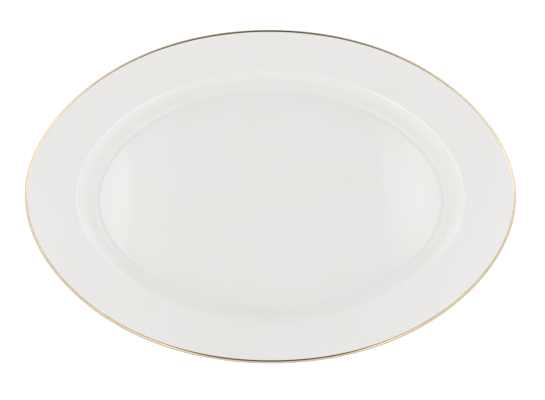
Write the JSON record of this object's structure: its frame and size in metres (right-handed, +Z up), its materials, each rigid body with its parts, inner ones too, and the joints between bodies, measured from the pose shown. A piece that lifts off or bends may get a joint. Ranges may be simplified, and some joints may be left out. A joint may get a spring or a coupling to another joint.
{
  "type": "serving platter",
  "caption": "Oval china serving platter with a raised flange, a steep cove, a wide flat well, a foot ring and a thin gold line round the lip.",
  "frame": {"origin": "middle of the flat plane that the foot ring stands on, under the centre of the oval", "axes": "+Z up out of the well, +X along the platter's length, +Y across its width"},
  "size_m": [0.3556, 0.248, 0.028],
  "materials": {
    "bone_china": "once-fired bone china body, fine and matt, seen only where the foot is ground",
    "clear_glaze": "clear high-gloss glaze over warm white bone china",
    "bright_gold": "bright liquid gold painted by hand over the glaze and fired, mirror bright",
    "stamp_enamel": "sepia overglaze enamel transfer, slightly raised and satin"
  },
  "bodies": {
    "root": {"china_body": "bone_china", "face_glaze": "clear_glaze", "back_glaze": "clear_glaze", "base_glaze": "clear_glaze", "gold_edge_band": "bright_gold", "backstamp": "stamp_enamel"}
  },
  "joints": []
}
